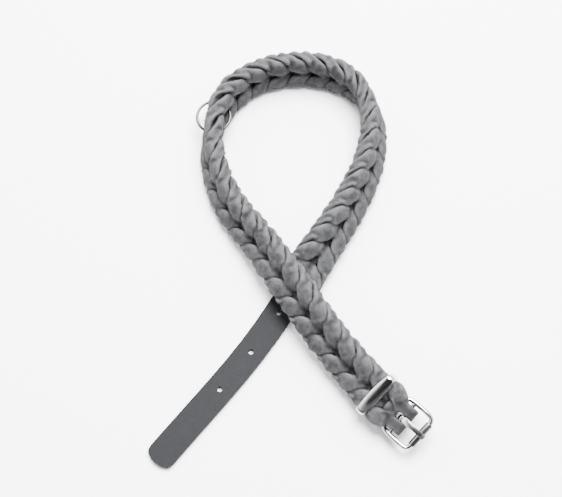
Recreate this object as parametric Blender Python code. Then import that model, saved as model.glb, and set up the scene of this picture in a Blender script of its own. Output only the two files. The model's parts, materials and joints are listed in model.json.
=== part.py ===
"""Braided leather dog collar with a roller buckle, lying on its side as a crossed loop.

Run with: blender --background --python part.py, or from Blender's text editor.
Units are metres and +Z is up. The origin is on the floor, under the middle of the collar.
"""

import math

import bmesh
import bpy
import numpy as np
from mathutils import Matrix, Vector

# Strap and braid
COLLAR_LENGTH = 0.528       # tail end to buckle fold, along the middle of the band
STRAP_WIDTH = 0.015
LEATHER = 0.0025
TAIL_LENGTH = 0.1165        # smooth strap before the braid
TAIL_CORNER = 0.0042        # corner radius of the tail's end
TAIL_CROWN = 0.0012         # how far the middle of the end stands out
HOLE_DIAMETER = 0.0028
HOLE_COUNT = 3
HOLE_FIRST = 0.049          # tail end to the nearest hole
HOLE_SPACING = 0.025
PLY_HEIGHT = 0.0031         # middle of the band to the middle of a ply
BEND_RADIUS = 0.0022        # where a ply rises through the other one
LEG_REACH = 0.0097          # middle of the band to a leg at the band's edge
LEG_PINCH = 0.25            # share of its width that a leg loses where it stands on edge
STITCH_PITCH = 0.0120       # from one chevron to the next, before it is fitted to the braid
FIRST_CROTCH = 0.0090       # buckle fold to the first split
REAR_OVERLAP = 0.0040       # plain end of the short strap before its first rise
TUCKED_END = 0.0080         # plain end of the short strap past the last split
BRAID_RUN_IN = 0.85         # how early the floor feels the braid before the tail, in pitches
GAP = 0.0003                # clearance between pieces that touch

# Buckle
BAR_RADIUS = 0.00115
FRAME_RADIUS = 0.0013
FRAME_INNER_WIDTH = 0.0164
FRAME_CORNER = 0.0022
FRONT_WINDOW = 0.0119       # middle of the centre bar to the middle of the front bar
BACK_WINDOW = 0.0048        # middle of the centre bar to the middle of the back bar
ROLLER_RADIUS = 0.0019
ROLLER_WALL = 0.0005
PRONG_WIDTH = 0.0026
PRONG_THICKNESS = 0.0016
PRONG_OVERHANG = 0.0024     # how far the prong passes the middle of the roller
SLOT_WIDTH = 0.0036
SLOT_REACH = 0.0036         # how far the prong's slot runs past the centre bar

# Keeper and leash ring
KEEPER_PLACE = 0.0217       # buckle fold to the middle of the keeper
KEEPER_WIDTH = 0.0050
KEEPER_WALL = 0.0012
KEEPER_CORNER = 0.0014
KEEPER_ROOM = 0.0012        # clearance between the keeper and the layers inside it
KEEPER_SAG = 0.0003         # how far the keeper has dropped towards the back of the band
RING_RADIUS = 0.0090        # to the middle of the wire
RING_WIRE = 0.0016
RING_CHEVRON = 16           # the ring goes round the strap where this chevron begins
RING_ROOM = 0.0016          # how much further apart the ring holds the chevrons beside it
RING_OUT = 0.0021          # middle of the ring outside the middle of the band
RING_BACK = 0.00035         # middle of the ring behind the strap that it holds

# The band's middle line, from the tail end to the buckle fold.
# share: part of the collar's length
# heading: direction of travel in degrees, anticlockwise from +X
# lean: how far the band's width leans from upright, in degrees
# lift: height above where the band would stand by itself, in leather thicknesses
ROUTE = [
    # share, heading, lean, lift
    (0.000, 50.0, 90.0, 0.0),
    (0.060, 49.0, 90.0, 0.0),
    (0.120, 51.0, 90.0, 0.0),
    (0.180, 56.5, 88.0, 0.0),
    (0.225, 56.0, 85.0, 0.0),
    (0.270, 55.5, 51.0, 0.0),
    (0.320, 61.5, 39.0, 0.0),
    (0.370, 74.5, 30.0, 0.0),
    (0.420, 103.0, 17.0, 0.0),
    (0.465, 146.0, -8.0, 0.0),
    (0.510, 177.5, -15.0, 0.0),
    (0.555, 201.0, -14.0, 0.0),
    (0.600, 234.0, -14.0, 0.0),
    (0.650, 268.5, 10.0, 0.0),
    (0.700, 291.5, 26.0, 0.0),
    (0.745, 308.0, 35.0, 0.3),
    (0.790, 303.5, 43.0, 1.6),
    (0.830, 304.0, 50.0, 2.6),
    (0.875, 306.5, 50.0, 1.5),
    (0.925, 310.5, 55.0, 0.6),
    (0.965, 315.0, 73.0, 1.0),
    (1.000, 317.5, 80.0, 1.1),
]

# Half of a leg, from the split to the band's edge.
# along: share of the way along the band
# out: share of the way from the strap's quarter width to LEG_REACH
# drop: share of PLY_HEIGHT that it has come down
# roll: how far the strip has turned on its edge, in degrees
LEG = [
    # along, out, drop, roll
    (0.00, 0.00, 0.00, 0.0),
    (0.37, 0.47, 0.01, 10.0),
    (0.45, 0.57, 0.06, 18.0),
    (0.76, 0.95, 0.34, 76.0),
    (0.91, 1.00, 0.73, 89.0),
    (1.00, 1.00, 1.00, 90.0),
]

# Lengthwise places of the tail's end, as shares of its corner radius, with the share of the
# strap's half width that the leather has there.
TAIL_END = [
    # back, half_width
    (0.00, 0.62),
    (0.16, 0.82),
    (0.45, 0.94),
    (1.00, 1.00),
]

LEATHER_COLOUR = (0.215, 0.218, 0.225, 1.0)
NICKEL_COLOUR = (0.78, 0.78, 0.77, 1.0)


def clear_scene():
    for obj in list(bpy.data.objects):
        bpy.data.objects.remove(obj)


def leather_material(name, roughness):
    material = bpy.data.materials.new(name)
    material.use_nodes = True
    shader = material.node_tree.nodes["Principled BSDF"]
    shader.inputs["Base Color"].default_value = LEATHER_COLOUR
    shader.inputs["Roughness"].default_value = roughness
    material.diffuse_color = LEATHER_COLOUR
    return material


def nickel_material(name):
    material = bpy.data.materials.new(name)
    material.use_nodes = True
    shader = material.node_tree.nodes["Principled BSDF"]
    shader.inputs["Base Color"].default_value = NICKEL_COLOUR
    shader.inputs["Metallic"].default_value = 1.0
    shader.inputs["Roughness"].default_value = 0.18
    material.diffuse_color = NICKEL_COLOUR
    return material


def column(number, shares):
    """A ROUTE column at each share of the length, on a smooth cubic through its rows."""
    at = np.array([row[0] for row in ROUTE])
    values = np.array([row[number] for row in ROUTE])
    slopes = np.gradient(values, at)
    row = np.clip(np.searchsorted(at, shares, side="right") - 1, 0, len(at) - 2)
    span = at[row + 1] - at[row]
    t = (shares - at[row]) / span
    return (
        values[row] * (1 + 2 * t) * (1 - t) ** 2
        + slopes[row] * span * t * (1 - t) ** 2
        + values[row + 1] * t * t * (3 - 2 * t)
        + slopes[row + 1] * span * t * t * (t - 1)
    )


def standing_height(lean, along):
    """Height of the band's middle when its lowest corner is on the floor."""
    braided = np.clip((along - TAIL_LENGTH) / STITCH_PITCH + BRAID_RUN_IN, 0.0, 1.0)
    rise = np.abs(np.cos(lean))
    reach = np.abs(np.sin(lean))
    corners = np.abs(np.array(leg_rings(STITCH_PITCH, STITCH_PITCH, 1)).reshape(-1, 3))
    braid = np.max([across * rise + out * reach for _, across, out in corners], axis=0)
    strap = STRAP_WIDTH / 2 * rise + LEATHER / 2 * reach
    return strap + (braid - strap) * braided


class Band:
    """The band's middle line with its frame at each place, sampled closely."""

    def __init__(self):
        steps = int(round(COLLAR_LENGTH / 0.0005))
        shares = np.linspace(0.0, 1.0, steps + 1)
        heading = np.radians(column(1, shares))
        lean = np.radians(column(2, shares))
        lift = column(3, shares) * LEATHER
        self.along = shares * COLLAR_LENGTH
        middle = (heading[1:] + heading[:-1]) / 2
        step = COLLAR_LENGTH / steps
        self.x = np.concatenate([[0.0], np.cumsum(np.cos(middle) * step)])
        self.y = np.concatenate([[0.0], np.cumsum(np.sin(middle) * step)])
        self.z = standing_height(lean, self.along) + lift
        self.heading = heading
        self.lean = lean

    def frame(self, back):
        """Middle point, travel, width and outward directions, this far back from the fold."""
        along = COLLAR_LENGTH - back
        x, y, z, heading, lean = (
            np.interp(along, self.along, values)
            for values in (self.x, self.y, self.z, self.heading, self.lean)
        )
        beyond = max(along - COLLAR_LENGTH, 0.0)
        travel = Vector((math.cos(heading), math.sin(heading), 0.0))
        left = Vector((-travel.y, travel.x, 0.0))
        up = Vector((0.0, 0.0, 1.0))
        width = up * math.cos(lean) + left * math.sin(lean)
        outward = up * math.sin(lean) - left * math.cos(lean)
        return Vector((x, y, z)) + travel * beyond, travel, width, outward

    def place(self, point):
        """World position of (back from the fold, across, outward)."""
        back, across, out = point
        middle, _, width, outward = self.frame(back)
        return middle + width * across + outward * out

    def matrix(self, back):
        """Matrix at this place whose X is across, Y is the travel and Z is outward."""
        middle, travel, width, outward = self.frame(back)
        rotation = Matrix((-width, travel, outward)).transposed()
        return Matrix.Translation(middle) @ rotation.to_4x4()


class StrapMesh:
    """Collects rings of a strap in band space: (back from the fold, across, outward)."""

    def __init__(self):
        self.points = []
        self.faces = []

    def add(self, points):
        first = len(self.points)
        self.points.extend(points)
        return list(range(first, len(self.points)))

    def ring(self, back, out, angle, half=STRAP_WIDTH / 2, slot=None):
        """Ring across the whole strap, which runs at this angle from the band."""
        turn = math.radians(angle)
        tilt = math.sin(turn) * LEATHER / 2
        rise = math.cos(turn) * LEATHER / 2
        places = (-half, 0.0, half) if slot is None else (-half, -slot, slot, half)
        upper = self.add([(back - tilt, across, out + rise) for across in places])
        lower = self.add([(back + tilt, across, out - rise) for across in places])
        return upper, lower

    def join(self, first, second):
        for row_a, row_b in zip(first, second):
            if len(row_a) == len(row_b):
                for k in range(len(row_a) - 1):
                    self.faces.append((row_a[k], row_a[k + 1], row_b[k + 1], row_b[k]))
            else:
                four, three = (row_a, row_b) if len(row_a) == 4 else (row_b, row_a)
                self.faces.append((four[0], four[1], three[1], three[0]))
                self.faces.append((four[1], four[2], three[1]))
                self.faces.append((four[2], four[3], three[2], three[1]))
        (upper_a, lower_a), (upper_b, lower_b) = first, second
        self.faces.append((lower_a[0], upper_a[0], upper_b[0], lower_b[0]))
        self.faces.append((upper_a[-1], lower_a[-1], lower_b[-1], upper_b[-1]))

    def run(self, rings):
        for first, second in zip(rings, rings[1:]):
            self.join(first, second)
        return rings[-1]

    def cap(self, ring):
        upper, lower = ring
        for k in range(len(upper) - 1):
            self.faces.append((upper[k], upper[k + 1], lower[k + 1], lower[k]))

    def loft(self, rings):
        """Skin a strip through rings of four corners.

        A twisted strip's two wide faces are split along matching diagonals, so its thickness
        stays even.
        """
        for first, second in zip(rings, rings[1:]):
            self.faces.append((first[1], first[2], second[2], second[1]))
            self.faces.append((first[3], first[0], second[0], second[3]))
            self.faces.append((first[0], first[1], second[1]))
            self.faces.append((first[0], second[1], second[0]))
            self.faces.append((first[2], first[3], second[2]))
            self.faces.append((first[3], second[3], second[2]))

    def build(self, name, band, material):
        mesh = bpy.data.meshes.new(name)
        bm = bmesh.new()
        verts = [bm.verts.new(band.place(point)) for point in self.points]
        for face in self.faces:
            bm.faces.new([verts[k] for k in face])
        bmesh.ops.recalc_face_normals(bm, faces=bm.faces)
        bm.to_mesh(mesh)
        bm.free()
        return add_object(name, mesh, material)


def add_object(name, mesh, material, matrix=None):
    mesh.materials.append(material)
    obj = bpy.data.objects.new(name, mesh)
    bpy.context.scene.collection.objects.link(obj)
    if matrix is not None:
        obj.matrix_world = matrix
    return obj


def leg_stations(ahead, behind):
    """(back, across, out, roll) from the front split over the band's edge to the rear split.

    The edge is this far ahead of the front split's chevron, and the rear split's chevron is
    this far behind the edge.
    """
    quarter = STRAP_WIDTH / 4
    stations = []
    for length, end in ((ahead, 1), (behind, -1)):
        half = [
            (
                ahead - end * (1.0 - along) * (length - BEND_RADIUS),
                quarter + out * (LEG_REACH - quarter),
                end * PLY_HEIGHT * (1.0 - drop),
                90.0 - end * (90.0 - roll),
            )
            for along, out, drop, roll in LEG
        ]
        stations.extend(half if end > 0 else half[-2::-1])
    return stations


def leg_rings(ahead, behind, side):
    """Corners of the strip at each station, on the side +1 or -1."""
    stations = np.array(leg_stations(ahead, behind))
    middles = stations[:, :3]
    travels = np.gradient(middles, axis=0)
    travels[0] = travels[-1] = (1.0, 0.0, 0.0)
    rings = []
    for middle, travel, roll in zip(middles, travels, np.radians(stations[:, 3])):
        travel = travel / np.linalg.norm(travel)
        face = np.array([0.0, math.sin(roll), math.cos(roll)])
        face = face - travel * (face @ travel)
        face = face / np.linalg.norm(face)
        pinch = 1.0 - LEG_PINCH * abs(face[1])
        edge = np.cross(face, travel) * STRAP_WIDTH / 4 * pinch
        face = face * LEATHER / 2
        corners = (middle - edge + face, middle + edge + face, middle + edge - face, middle - edge - face)
        rings.append([corner * (1.0, side, 1.0) for corner in corners])
    return rings


def climb(strap, rear, back):
    """From the ring at the rear of the band up to the ring at its front, through the other ply."""
    rings = [rear]
    for angle, end in ((45.0, -1), (90.0, -1), (90.0, 1), (45.0, 1), (0.0, 1)):
        turn = math.radians(angle)
        over = BEND_RADIUS * (1.0 - math.sin(turn))
        up = BEND_RADIUS * (1.0 - math.cos(turn))
        rings.append(strap.ring(back + end * over, end * (PLY_HEIGHT - up), angle))
    return strap.run(rings)


def chevron(strap, front, places, number):
    """Both legs from the ring of the front split, and the ring of the rear split."""
    upper, lower = front
    back, edge_place, following = places[number : number + 3]
    rear = strap.ring(following - BEND_RADIUS, -PLY_HEIGHT, 0.0)
    rear_upper, rear_lower = rear
    for side, edge in ((1, 2), (-1, 0)):
        rings = [[upper[1], upper[edge], lower[edge], lower[1]]]
        for corners in leg_rings(edge_place - back, following - edge_place, side)[1:-1]:
            rings.append(strap.add([(corner[0] + back, corner[1], corner[2]) for corner in corners]))
        rings.append([rear_lower[edge], rear_lower[1], rear_upper[1], rear_upper[edge]])
        strap.loft(rings)
    return rear


def chevron_places():
    """Distance of each chevron from the fold, with two more for the ends of the last one.

    The last chevron has an even number, so the ply that starts at the fold also makes the tail.
    """
    first = FIRST_CROTCH - BEND_RADIUS
    room = COLLAR_LENGTH - TAIL_LENGTH + BEND_RADIUS - first - 2 * RING_ROOM
    last = 2 * int((room / STITCH_PITCH - 2.0) / 2.0 + 0.5)
    pitch = room / (last + 2)
    places = [first]
    for number in range(1, last + 3):
        wider = RING_ROOM if number in (RING_CHEVRON, RING_CHEVRON + 1) else 0.0
        places.append(places[-1] + pitch + wider)
    return places


def bar_place():
    """Distance from the outside of the fold back to the middle of the centre bar."""
    return PLY_HEIGHT + LEATHER / 2


def flap_end():
    """Where the flap behind the fold stops, just short of the first rise of the other ply."""
    return chevron_places()[1] - BEND_RADIUS - REAR_OVERLAP


def slot_strip(rings, edges):
    first, second = edges
    return [[upper[first], upper[second], lower[second], lower[first]] for upper, lower in rings]


def add_fold(strap):
    """The flap behind, the bend round the centre bar with the prong's slot, and the front layer."""
    bar = bar_place()
    slot_end = bar + SLOT_REACH
    start = strap.ring(flap_end(), -PLY_HEIGHT, 180.0)
    strap.cap(start)
    slotted = [strap.ring(slot_end, -PLY_HEIGHT, 180.0, slot=SLOT_WIDTH / 2)]
    for angle in range(180, -1, -30):
        turn = math.radians(angle)
        over = PLY_HEIGHT * math.sin(turn)
        out = PLY_HEIGHT * math.cos(turn)
        slotted.append(strap.ring(bar - over, out, angle, slot=SLOT_WIDTH / 2))
    slotted.append(strap.ring(slot_end, PLY_HEIGHT, 0.0, slot=SLOT_WIDTH / 2))
    strap.join(start, slotted[0])
    for edges in ((0, 1), (2, 3)):
        strap.loft(slot_strip(slotted, edges))
    for upper, lower in (slotted[0], slotted[-1]):
        strap.faces.append((upper[1], upper[2], lower[2], lower[1]))
    split = strap.ring(FIRST_CROTCH, PLY_HEIGHT, 0.0)
    strap.join(slotted[-1], split)
    return split


def add_tail(strap, rear):
    """From the last rear split, back to the middle of the band and on to the tail's end."""
    rings = [rear]
    settle = COLLAR_LENGTH - TAIL_LENGTH
    run_in = 3 * BEND_RADIUS
    for share in (0.35, 0.65, 1.0):
        drop = -PLY_HEIGHT * (1.0 - share * share * (3.0 - 2.0 * share))
        rings.append(strap.ring(settle + share * run_in, drop, 0.0))
    straight = COLLAR_LENGTH - TAIL_CORNER - TAIL_CROWN
    first = settle + run_in
    count = int((straight - first) / STITCH_PITCH) + 1
    for step in range(1, count):
        rings.append(strap.ring(first + (straight - first) * step / count, 0.0, 0.0))
    for share, half in reversed(TAIL_END):
        place = COLLAR_LENGTH - TAIL_CROWN - TAIL_CORNER * share
        rings.append(strap.ring(place, 0.0, 0.0, half=STRAP_WIDTH / 2 * half))
    upper, lower = strap.ring(COLLAR_LENGTH - TAIL_CROWN * 0.35, 0.0, 0.0, half=STRAP_WIDTH / 2 * 0.42)
    rings.append((upper, lower))
    for row in (upper, lower):
        across, out = strap.points[row[1]][1:]
        strap.points[row[1]] = (COLLAR_LENGTH, across, out)
    strap.cap(strap.run(rings))


def long_strap(band, material):
    """Fold, every second chevron and the smooth tail, in one piece."""
    strap = StrapMesh()
    places = chevron_places()
    front = add_fold(strap)
    for number in range(0, len(places) - 2, 2):
        if number:
            front = climb(strap, rear, places[number])
        rear = chevron(strap, front, places, number)
    add_tail(strap, rear)
    return strap.build("long_strap", band, material)


def short_strap(band, material):
    """The other chevrons, with a plain end behind the fold and one tucked through the last split."""
    strap = StrapMesh()
    places = chevron_places()
    start = strap.ring(flap_end() + GAP, -PLY_HEIGHT, 0.0)
    strap.cap(start)
    rear = strap.ring(places[1] - BEND_RADIUS, -PLY_HEIGHT, 0.0)
    strap.join(start, rear)
    for number in range(1, len(places) - 3, 2):
        front = climb(strap, rear, places[number])
        rear = chevron(strap, front, places, number)
    front = climb(strap, rear, places[-2])
    end = strap.ring(places[-2] + BEND_RADIUS + TUCKED_END, PLY_HEIGHT, 0.0)
    strap.join(front, end)
    strap.cap(end)
    return strap.build("short_strap", band, material)


def cut(obj, cutter):
    cutter.hide_render = True
    cutter.display_type = "WIRE"
    modifier = obj.modifiers.new(cutter.name, "BOOLEAN")
    modifier.operation = "DIFFERENCE"
    modifier.solver = "EXACT"
    modifier.object = cutter


def fuse(obj, other):
    other.hide_render = True
    other.display_type = "WIRE"
    modifier = obj.modifiers.new(other.name, "BOOLEAN")
    modifier.operation = "UNION"
    modifier.solver = "EXACT"
    modifier.object = other


def cylinder_mesh(name, radius, length, sides, turn):
    mesh = bpy.data.meshes.new(name)
    bm = bmesh.new()
    bmesh.ops.create_cone(
        bm, cap_ends=True, segments=sides, radius1=radius, radius2=radius, depth=length, matrix=turn
    )
    bm.to_mesh(mesh)
    bm.free()
    return mesh


def cut_tail_holes(strap, band, material):
    for number in range(HOLE_COUNT):
        name = f"hole_cutter_{number + 1}"
        mesh = cylinder_mesh(name, HOLE_DIAMETER / 2, 3 * LEATHER, 12, Matrix.Identity(4))
        back = COLLAR_LENGTH - HOLE_FIRST - number * HOLE_SPACING
        cut(strap, add_object(name, mesh, material, band.matrix(back)))


def rounded_rectangle(half_x, low_y, high_y, corner, steps):
    """Points round a rectangle with arcs at its corners, anticlockwise from the right side."""
    points = []
    for number, (x, y) in enumerate(
        ((half_x, high_y), (-half_x, high_y), (-half_x, low_y), (half_x, low_y))
    ):
        middle = (x - math.copysign(corner, x), y - math.copysign(corner, y - (low_y + high_y) / 2))
        for step in range(steps + 1):
            turn = math.radians(90.0 * number + 90.0 * step / steps)
            points.append((middle[0] + corner * math.cos(turn), middle[1] + corner * math.sin(turn)))
    return points


def swept_mesh(name, path, profile_at):
    """Closed tube along a closed flat path; profile_at gives (out, up) pairs at a path point."""
    mesh = bpy.data.meshes.new(name)
    bm = bmesh.new()
    rings = []
    for number, here in enumerate(path):
        before = Vector(path[number - 1])
        after = Vector(path[(number + 1) % len(path)])
        travel = (after - before).normalized()
        out = Vector((travel.y, -travel.x))
        rings.append(
            [
                bm.verts.new((here[0] + out.x * side, here[1] + out.y * side, up))
                for side, up in profile_at(here)
            ]
        )
    for first, second in zip(rings, rings[1:] + rings[:1]):
        for k in range(len(first)):
            following = (k + 1) % len(first)
            bm.faces.new((first[k], first[following], second[following], second[k]))
    bmesh.ops.recalc_face_normals(bm, faces=bm.faces)
    bm.to_mesh(mesh)
    bm.free()
    return mesh


def smooth_edges(mesh, degrees):
    mesh.shade_smooth()
    mesh.set_sharp_from_angle(angle=math.radians(degrees))


def buckle_frame(band, material):
    side = FRAME_INNER_WIDTH / 2 + FRAME_RADIUS
    path = rounded_rectangle(side, -BACK_WINDOW, FRONT_WINDOW, FRAME_CORNER, 4)

    def profile(here):
        on_front_bar = here[1] > FRONT_WINDOW - FRAME_RADIUS / 2
        radius = BAR_RADIUS if on_front_bar or here[1] < -BACK_WINDOW + FRAME_RADIUS / 2 else FRAME_RADIUS
        return [
            (radius * math.cos(math.radians(45.0 * k)), radius * math.sin(math.radians(45.0 * k)))
            for k in range(8)
        ]

    mesh = swept_mesh("buckle_frame", path, profile)
    smooth_edges(mesh, 50.0)
    matrix = band.matrix(bar_place())
    frame = add_object("buckle_frame", mesh, material, matrix)
    across = Matrix.Rotation(math.radians(90.0), 4, "Y")
    bar = cylinder_mesh("centre_bar", BAR_RADIUS, 2 * side, 10, across)
    fuse(frame, add_object("centre_bar", bar, material, matrix))
    return frame


def turned_mesh(name, profile, sides):
    """Ring turned about X from closed (along, radius) corners."""
    mesh = bpy.data.meshes.new(name)
    bm = bmesh.new()
    loops = []
    for k in range(sides):
        turn = 2 * math.pi * k / sides
        loops.append(
            [bm.verts.new((x, radius * math.cos(turn), radius * math.sin(turn))) for x, radius in profile]
        )
    for first, second in zip(loops, loops[1:] + loops[:1]):
        for k in range(len(profile)):
            following = (k + 1) % len(profile)
            bm.faces.new((first[k], first[following], second[following], second[k]))
    bmesh.ops.recalc_face_normals(bm, faces=bm.faces)
    bm.to_mesh(mesh)
    bm.free()
    smooth_edges(mesh, 40.0)
    return mesh


def roller(band, material):
    half = FRAME_INNER_WIDTH / 2 - (FRAME_CORNER - FRAME_RADIUS) - GAP
    inner = ROLLER_RADIUS - ROLLER_WALL
    chamfer = ROLLER_WALL / 2
    profile = [
        (-half, inner),
        (half, inner),
        (half, ROLLER_RADIUS - chamfer),
        (half - chamfer, ROLLER_RADIUS),
        (chamfer - half, ROLLER_RADIUS),
        (-half, ROLLER_RADIUS - chamfer),
    ]
    mesh = turned_mesh("roller", profile, 16)
    matrix = band.matrix(bar_place()) @ Matrix.Translation((0.0, FRONT_WINDOW, 0.0))
    return add_object("roller", mesh, material, matrix)


def prong(band, material):
    """Loop round the centre bar with an arm that rests on the roller."""
    inner = BAR_RADIUS + GAP * 0.8
    outer = inner + PRONG_THICKNESS / 2
    half = PRONG_WIDTH / 2
    hub = turned_mesh("prong", [(-half, inner), (half, inner), (half, outer), (-half, outer)], 16)
    matrix = band.matrix(bar_place())
    piece = add_object("prong", hub, material, matrix)
    rest = ROLLER_RADIUS + GAP * 0.8
    top = rest + PRONG_THICKNESS
    tip = FRONT_WINDOW + PRONG_OVERHANG
    outline = [
        (-inner * 0.2, outer - GAP),
        (outer, top),
        (FRONT_WINDOW, top),
        (tip, rest + PRONG_THICKNESS * 0.45),
        (tip, rest),
        (FRONT_WINDOW - ROLLER_RADIUS, rest),
        (outer, inner * 0.8),
        (inner + GAP, inner * 0.45),
        (inner * 0.75, inner * 0.80),
    ]
    mesh = bpy.data.meshes.new("prong_arm")
    bm = bmesh.new()
    side = bm.faces.new([bm.verts.new((-half, y, z)) for y, z in outline])
    pushed = bmesh.ops.extrude_face_region(bm, geom=[side])
    bmesh.ops.translate(
        bm,
        vec=(PRONG_WIDTH, 0.0, 0.0),
        verts=[part for part in pushed["geom"] if isinstance(part, bmesh.types.BMVert)],
    )
    bmesh.ops.recalc_face_normals(bm, faces=bm.faces)
    bm.to_mesh(mesh)
    bm.free()
    fuse(piece, add_object("prong_arm", mesh, material, matrix))
    return piece


def keeper(band, material):
    """Flat metal loop round both layers, domed outside."""
    inner_x = LEG_REACH + LEATHER / 2 + GAP * 2
    inner_z = PLY_HEIGHT + LEATHER / 2 + KEEPER_ROOM
    half = KEEPER_WIDTH / 2
    path = rounded_rectangle(inner_x, -inner_z, inner_z, KEEPER_CORNER, 4)
    profile = [
        (0.0, -half),
        (KEEPER_WALL * 0.6, -half),
        (KEEPER_WALL, -half * 0.5),
        (KEEPER_WALL, half * 0.5),
        (KEEPER_WALL * 0.6, half),
        (0.0, half),
    ]
    mesh = swept_mesh("keeper", path, lambda here: profile)
    smooth_edges(mesh, 40.0)
    stand = Matrix.Translation((0.0, 0.0, -KEEPER_SAG)) @ Matrix.Rotation(math.radians(90.0), 4, "X")
    return add_object("keeper", mesh, material, band.matrix(KEEPER_PLACE) @ stand)


def leash_ring(band, material):
    bpy.ops.mesh.primitive_torus_add(
        major_segments=28, minor_segments=8, major_radius=RING_RADIUS, minor_radius=RING_WIRE / 2
    )
    ring = bpy.context.object
    ring.name = "leash_ring"
    ring.data.name = "leash_ring"
    ring.data.materials.append(material)
    ring.data.shade_smooth()
    across = Matrix.Rotation(math.radians(90.0), 4, "Y")
    back = chevron_places()[RING_CHEVRON] + RING_BACK
    ring.matrix_world = band.matrix(back) @ Matrix.Translation((0.0, 0.0, RING_OUT)) @ across
    return ring


def stand_on_origin():
    """Move everything so that the collar's box stands on the floor, centred on the origin."""
    bpy.context.view_layer.update()
    graph = bpy.context.evaluated_depsgraph_get()
    corners = []
    for obj in bpy.context.scene.objects:
        if not obj.hide_render:
            shape = obj.evaluated_get(graph)
            mesh = shape.to_mesh()
            corners.extend(shape.matrix_world @ vertex.co for vertex in mesh.vertices)
            shape.to_mesh_clear()
    low = [min(corner[k] for corner in corners) for k in range(3)]
    high = [max(corner[k] for corner in corners) for k in range(3)]
    shift = Matrix.Translation((-(low[0] + high[0]) / 2, -(low[1] + high[1]) / 2, -low[2]))
    for obj in bpy.context.scene.objects:
        obj.matrix_world = shift @ obj.matrix_world
    bpy.context.view_layer.update()


def main():
    clear_scene()
    band = Band()
    leather = leather_material("grey_leather", 0.85)
    nickel = nickel_material("polished_nickel")
    strap = long_strap(band, leather)
    cut_tail_holes(strap, band, leather)
    short_strap(band, leather)
    buckle_frame(band, nickel)
    roller(band, nickel)
    prong(band, nickel)
    keeper(band, nickel)
    leash_ring(band, nickel)
    stand_on_origin()


main()
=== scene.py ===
# %% [markdown]
# # A braided leather dog collar
# The imported model gives every piece its place and size. This script dresses it: soft napped
# leather for the braid, smooth darker leather for the tail, and polished nickel for the buckle.
# The first cell loads the model.

# %% Load the frame
import bpy
import json
import math
import numpy as np
from mathutils import Matrix, Vector
from mathutils.kdtree import KDTree


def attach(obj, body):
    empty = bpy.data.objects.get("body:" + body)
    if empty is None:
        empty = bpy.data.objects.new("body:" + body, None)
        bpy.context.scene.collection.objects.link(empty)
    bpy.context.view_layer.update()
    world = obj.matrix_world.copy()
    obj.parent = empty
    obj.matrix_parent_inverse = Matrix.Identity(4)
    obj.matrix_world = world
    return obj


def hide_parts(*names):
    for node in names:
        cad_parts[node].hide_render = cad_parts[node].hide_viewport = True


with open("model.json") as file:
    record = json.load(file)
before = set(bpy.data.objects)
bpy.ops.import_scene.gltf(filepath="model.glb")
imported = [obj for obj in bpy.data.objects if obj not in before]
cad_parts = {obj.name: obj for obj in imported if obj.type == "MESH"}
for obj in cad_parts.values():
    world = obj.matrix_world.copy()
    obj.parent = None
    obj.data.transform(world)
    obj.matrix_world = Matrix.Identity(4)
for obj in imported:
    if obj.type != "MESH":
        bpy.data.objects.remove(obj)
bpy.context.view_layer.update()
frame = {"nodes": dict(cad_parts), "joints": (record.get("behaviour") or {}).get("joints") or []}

# %% [markdown]
# The camera looks down steeply, as in the photograph, from a little over half a metre away.
# Its angle, distance and target were found by matching the outline of the band.

# %% Camera
CAMERA_ELEVATION = 73.06
CAMERA_DISTANCE = 0.5983
CAMERA_TARGET = (-0.0046, 0.0043)
FIELD_OF_VIEW = 28.0

elevation = math.radians(CAMERA_ELEVATION)
camera_place = (
    CAMERA_TARGET[0],
    CAMERA_TARGET[1] - CAMERA_DISTANCE * math.cos(elevation),
    CAMERA_DISTANCE * math.sin(elevation),
)
bpy.ops.object.camera_add(location=camera_place, rotation=(math.pi / 2 - elevation, 0.0, 0.0))
camera = bpy.context.object
camera.data.sensor_width = 36.0
camera.data.angle = math.radians(FIELD_OF_VIEW)
bpy.context.scene.camera = camera
print("camera at", [round(value, 3) for value in camera_place])

# %% [markdown]
# The floor is one large pale sheet. The white sky is dark near the horizon, right overhead and
# on the camera's side, so that polished metal has something dark to reflect. One large soft lamp
# above the collar, a little behind it, gives the strips their lighter tops and soft shadows.

# %% Floor, sky and lamp
FLOOR_SIZE = 60.0
FLOOR_COLOUR = (0.90, 0.90, 0.92, 1.0)
SKY_STRENGTH = 8.0
SKY_FRONT = 0.05            # brightness of the sky on the camera's side, against the far side
LAMP_POWER = 98.0
LAMP_PLACE = (0.12, 0.42, 1.0)
LAMP_SIZE = 0.7
SKY_BANDS = [
    # height in the sky (0 at the horizon, 1 overhead), brightness
    (0.28, 0.004),
    (0.44, 1.0),
    (0.76, 1.0),
    (0.87, 0.03),
]

bpy.ops.mesh.primitive_plane_add(size=FLOOR_SIZE, location=(0.0, 0.0, 0.0))
floor = bpy.context.object
floor.name = "floor"
floor_material = bpy.data.materials.new("pale_floor")
floor_material.use_nodes = True
floor_shader = floor_material.node_tree.nodes["Principled BSDF"]
floor_shader.inputs["Base Color"].default_value = FLOOR_COLOUR
floor_shader.inputs["Roughness"].default_value = 0.8
floor_shader.inputs["Specular IOR Level"].default_value = 0.15
floor.data.materials.append(floor_material)

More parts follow.
